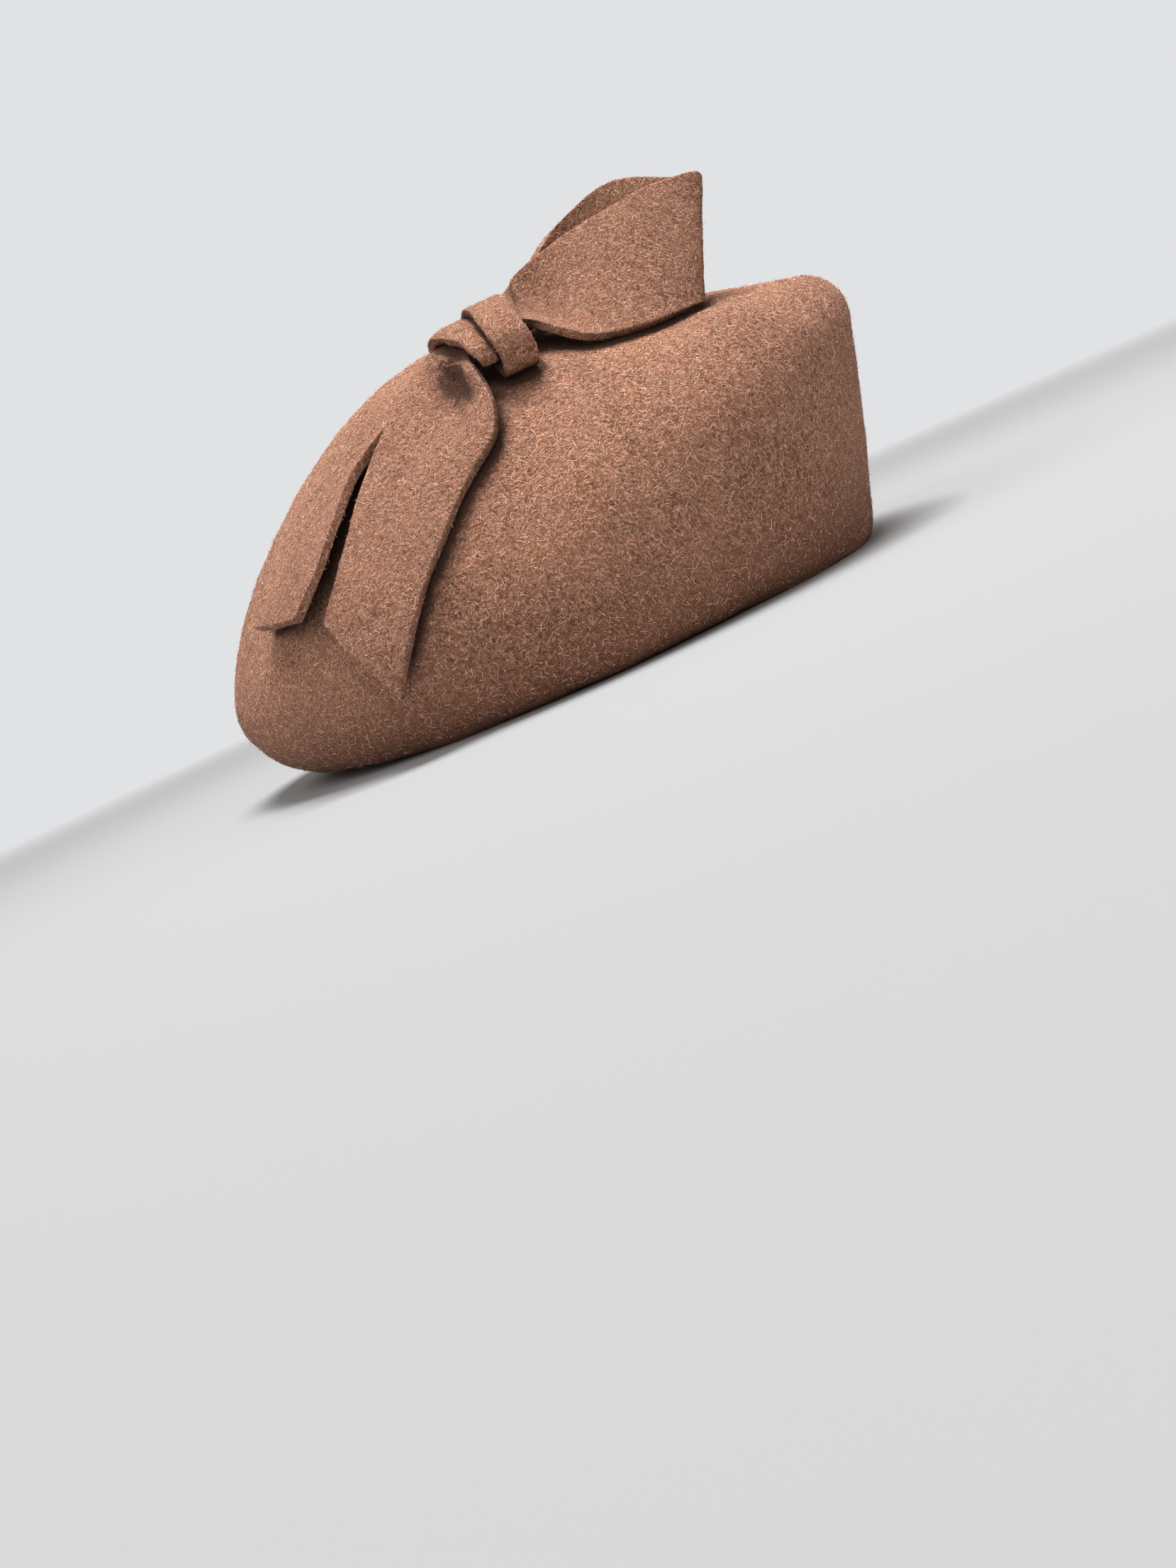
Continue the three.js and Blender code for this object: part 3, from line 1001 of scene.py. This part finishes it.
@dataclass
class Crown:
    """The blocked felt crown and its nap."""

    levels: int = 2
    slot: str = "crown_felt"
    # How strongly the crown darkens as painted shade in hollows, and as painted shadow beside and under the
    # bow.
    look: Look = Look(reach=10 * MILLIMETRE, gain=1.9, gain_at_knot=2.0)
    long_fibres: float = 290_000.0
    short_fibres: float = 450_000.0
    stray_fibres: float = 90_000.0

    SEAT_CLEAR = 2.2 * MILLIMETRE

    def felt(self) -> bpy.types.Object:
        """Make the crown's felt.

        Returns:
            The piece.
        """
        return FeltPiece(
            node="crown",
            name="felt_crown",
            slot=self.slot,
            finish=Finish.CROWN,
            levels=self.levels,
            ripples=(
                Ripple(36 * MILLIMETRE, 1.1 * MILLIMETRE, 11.0),
                Ripple(11 * MILLIMETRE, 0.45 * MILLIMETRE, 5.0),
            ),
        ).build()

    def nap(self, felt: bpy.types.Object) -> list[bpy.types.Object]:
        """Lay the crown's nap.

        Args:
            felt: The crown's felt.

        Returns:
            The layers of fibres.
        """
        long_nap = Nap(
            per_square_metre=self.long_fibres,
            shortest=1.1 * MILLIMETRE,
            longest=3.0 * MILLIMETRE,
            width=0.11 * MILLIMETRE,
            arch=0.08,
            lean=0.5,
            tilt=0.06,
            curl=1.1 * MILLIMETRE,
            seed=3,
            finish=Finish.NAP,
            joints=4,
        )
        short_nap = Nap(
            per_square_metre=self.short_fibres,
            shortest=0.6 * MILLIMETRE,
            longest=1.6 * MILLIMETRE,
            width=0.14 * MILLIMETRE,
            arch=0.14,
            lean=0.6,
            tilt=0.25,
            curl=0.6 * MILLIMETRE,
            seed=17,
            finish=Finish.NAP,
        )
        stray_nap = Nap(
            per_square_metre=self.stray_fibres,
            shortest=1.0 * MILLIMETRE,
            longest=3.6 * MILLIMETRE,
            width=0.06 * MILLIMETRE,
            arch=0.15,
            lean=1.2,
            tilt=0.8,
            curl=1.8 * MILLIMETRE,
            seed=29,
            finish=Finish.STRAY,
        )
        return [
            long_nap.lay("crown_nap_long", [felt], self._stays_bare),
            short_nap.lay("crown_nap_short", [felt], self._stays_bare),
            stray_nap.lay("crown_nap_stray", [felt], self._stays_bare),
        ]

    @staticmethod
    def _stays_bare(face: bmesh.types.BMFace) -> bool:
        """Say whether a face carries no fibres.

        Args:
            face: A face of the crown.

        Returns:
            True on the crown's inner side and on its seat.
        """
        middle = face.calc_center_median()
        return middle.z < Crown.SEAT_CLEAR or face.normal.dot(middle - HEAD_MIDDLE) < 0


@dataclass(frozen=True)
class StripCut:
    """A felt strip as it was cut, before it was folded into the bow."""

    node: str
    name: str
    length: float
    area: float
    held: str
    # How strongly the strip darkens as painted shade in its folds and near the knot.
    look: Look
    width: float = 0.038
    edge_crease: float = 0.75
    rests_on: tuple[str, ...] = ("felt_crown",)


@dataclass
class Bow:
    """The half bow: a loop, two tails and the wrap that knots them."""

    slot: str = "bow_felt"
    levels: int = 3
    fibres: float = 620_000.0
    stray_fibres: float = 150_000.0

    CUTS = (
        StripCut(
            node="bow_loop",
            name="felt_bow_loop",
            length=0.125,
            area=0.00439,
            held="folded",
            look=Look(reach=14 * MILLIMETRE, gain=0.7, gain_at_knot=4.2),
        ),
        StripCut(
            node="knot_wrap",
            name="felt_knot_wrap",
            length=0.108,
            area=0.00102,
            held="folded",
            look=Look(reach=8 * MILLIMETRE, gain=1.3, gain_at_knot=2.0),
            width=0.010,
            edge_crease=0.4,
        ),
        StripCut(
            node="tail_front",
            name="felt_tail_front",
            length=0.095,
            area=0.00301,
            held="laid",
            look=Look(reach=20 * MILLIMETRE, gain=0.9, gain_at_knot=8.0),
        ),
        StripCut(
            node="tail_back",
            name="felt_tail_back",
            length=0.090,
            area=0.00190,
            held="laid",
            look=Look(reach=9 * MILLIMETRE, gain=1.0, gain_at_knot=2.0),
        ),
    )

    def felt(self) -> list[bpy.types.Object]:
        """Make the bow's strips.

        Returns:
            The pieces.
        """
        return [self._strip(cut) for cut in self.CUTS]

    def nap(self, strips: Sequence[bpy.types.Object]) -> list[bpy.types.Object]:
        """Lay the bow's nap.

        Args:
            strips: The bow's strips.

        Returns:
            The layers of fibres.
        """
        lying = Nap(
            per_square_metre=self.fibres,
            shortest=0.7 * MILLIMETRE,
            longest=2.0 * MILLIMETRE,
            width=0.11 * MILLIMETRE,
            arch=0.1,
            lean=0.5,
            tilt=0.12,
            curl=0.7 * MILLIMETRE,
            seed=41,
            finish=Finish.NAP,
        )
        stray = Nap(
            per_square_metre=self.stray_fibres,
            shortest=0.8 * MILLIMETRE,
            longest=3.0 * MILLIMETRE,
            width=0.06 * MILLIMETRE,
            arch=0.15,
            lean=1.2,
            tilt=0.8,
            curl=1.5 * MILLIMETRE,
            seed=53,
            finish=Finish.STRAY,
        )
        return [
            lying.lay("bow_nap_lying", strips),
            stray.lay("bow_nap_stray", strips),
        ]

    def _strip(self, cut: StripCut) -> bpy.types.Object:
        """Make one strip of the bow.

        Args:
            cut: The strip as it was cut.

        Returns:
            The piece.
        """
        piece = FeltPiece(
            node=cut.node,
            name=cut.name,
            slot=self.slot,
            finish=Finish.BOW,
            levels=self.levels,
            ripples=(
                Ripple(12 * MILLIMETRE, 0.35 * MILLIMETRE, 23.0),
                Ripple(2.2 * MILLIMETRE, 0.14 * MILLIMETRE, 31.0),
            ),
            edge_crease=cut.edge_crease,
        ).build()
        return piece


# ---------------------------------------------------------------- the studio


@dataclass(frozen=True)
class SoftBox:
    """A square light that faces the hat."""

    name: str
    side: Vector
    distance: float
    size: float
    power: float

    def hang(self) -> None:
        """Put the light in the scene."""
        lamp = bpy.data.lights.new(self.name, "AREA")
        lamp.shape = "SQUARE"
        lamp.size = self.size
        lamp.energy = self.power
        light = bpy.data.objects.new(self.name, lamp)
        light.location = self.side.normalized() * self.distance + HEAD_MIDDLE
        light.rotation_euler = self.side.to_track_quat("Z", "Y").to_euler()
        bpy.context.scene.collection.objects.link(light)


@dataclass
class Studio:
    """A plain pale floor, soft light and the camera."""

    eye: Vector = Vector((-0.35461, -0.24830, 0.03328))
    target: Vector = Vector((-0.01715, 0.01339, -0.03953))
    roll: float = math.radians(24.53)
    lens: float = 28.904
    sensor: float = 36.0
    backdrop: Colour = (0.753, 0.761, 0.776)
    ambient: float = 0.5
    ambient_tint: Colour = (0.80, 0.735, 0.675)
    near_clip: float = 0.01
    floor_radius: float = 1.2
    floor_sides: int = 96

    FLOOR_COLOURS = ((0.350, 0.357, 0.368), (0.362, 0.369, 0.380))
    FLOOR_MOTTLE = Cloud(0.4)
    FLOOR_FADE = (0.25, 0.97)
    FLOOR_ROUGHNESS = 0.9
    FLOOR_SPECULAR = 0.05
    BOXES = (
        SoftBox("key_box", Vector((0.03, -0.12, 0.95)), 1.0, 0.45, 17.2),
        SoftBox("fill_box", Vector((-0.80, -0.60, 0.30)), 1.4, 1.2, 5.6),
        SoftBox("side_box", Vector((-0.60, 0.42, 0.85)), 1.2, 0.7, 3.2),
    )

    def build(self) -> None:
        """Make the floor, the lights and the camera."""
        self._floor()
        self._backdrop()
        for box in self.BOXES:
            box.hang()
        self._camera()

    def _floor(self) -> None:
        """Make a round floor that fades into the backdrop."""
        mesh = bpy.data.meshes.new("studio_floor")
        work = bmesh.new()
        bmesh.ops.create_circle(
            work, cap_ends=True, segments=self.floor_sides, radius=self.floor_radius
        )
        work.to_mesh(mesh)
        work.free()
        floor = bpy.data.objects.new("studio_floor", mesh)
        bpy.context.scene.collection.objects.link(floor)
        paint = Paint("pale_floor")
        place = paint.place()
        reach = paint.wire("ShaderNodeVectorMath", {"operation": "LENGTH"}, {0: place}, "Value")
        fade_start, fade_end = (share * self.floor_radius for share in self.FLOOR_FADE)
        gone = paint.ramp(reach, fade_start, fade_end)
        mottle = paint.cloud(place, self.FLOOR_MOTTLE)
        paint.feed(paint.shader.inputs["Base Color"], paint.blend(mottle, *self.FLOOR_COLOURS))
        paint.shader.inputs["Roughness"].default_value = self.FLOOR_ROUGHNESS
        paint.shader.inputs["Specular IOR Level"].default_value = self.FLOOR_SPECULAR
        clear = paint.node("ShaderNodeBsdfTransparent")
        mixed = paint.node("ShaderNodeMixShader", {}, {"Fac": gone})
        paint.tree.links.new(paint.shader.outputs[0], mixed.inputs[1])
        paint.tree.links.new(clear.outputs[0], mixed.inputs[2])
        paint.tree.links.new(mixed.outputs[0], paint.outlet.inputs["Surface"])
        mesh.materials.append(paint.material)

    def _backdrop(self) -> None:
        """Give the world an even pale grey."""
        world = bpy.data.worlds.new("studio")
        world.use_nodes = True
        board = Board(world.node_tree)
        seen = board.wire("ShaderNodeLightPath", outlet="Is Camera Ray")
        glow = board.wire(
            "ShaderNodeBackground",
            {},
            {
                "Color": board.blend(seen, self.ambient_tint, self.backdrop),
                "Strength": seen * (1 - self.ambient) + self.ambient,
            },
        )
        board.node("ShaderNodeOutputWorld", {}, {"Surface": glow})
        bpy.context.scene.world = world
        bpy.context.scene.view_settings.view_transform = "Standard"

    def _camera(self) -> None:
        """Set up the camera, rolled about its own line of sight."""
        data = bpy.data.cameras.new("camera")
        data.lens = self.lens
        data.sensor_width = self.sensor
        data.clip_start = self.near_clip
        camera = bpy.data.objects.new("camera", data)
        ahead = (self.target - self.eye).normalized()
        level = ahead.cross(Vector((0, 0, 1))).normalized()
        upright = level.cross(ahead)
        up = upright * math.cos(self.roll) + level * math.sin(self.roll)
        right = ahead.cross(up)
        turn = Matrix((right, up, -ahead)).transposed().to_4x4()
        camera.matrix_world = Matrix.Translation(self.eye) @ turn
        bpy.context.scene.collection.objects.link(camera)
        bpy.context.scene.camera = camera


def main() -> None:
    """Build the studio and the hat, and log how many pieces were made."""
    Studio().build()
    crown, bow = Crown(), Bow()
    dome, strips = crown.felt(), bow.felt()
    # Painted shade: mark how closed in each point of the felt is; the materials darken deep points.
    folds = Folds([dome, *strips], knot=strips[1])
    folds.mark(dome, strips, crown.look)
    for piece, cut in zip(strips, bow.CUTS):
        folds.mark(piece, strips, cut.look)
    pieces = [dome, *crown.nap(dome), *strips, *bow.nap(strips)]
    log.info("%d pieces made", len(pieces))


if __name__ == "__main__":
    logging.basicConfig(level=logging.INFO, format="%(message)s")
    main()
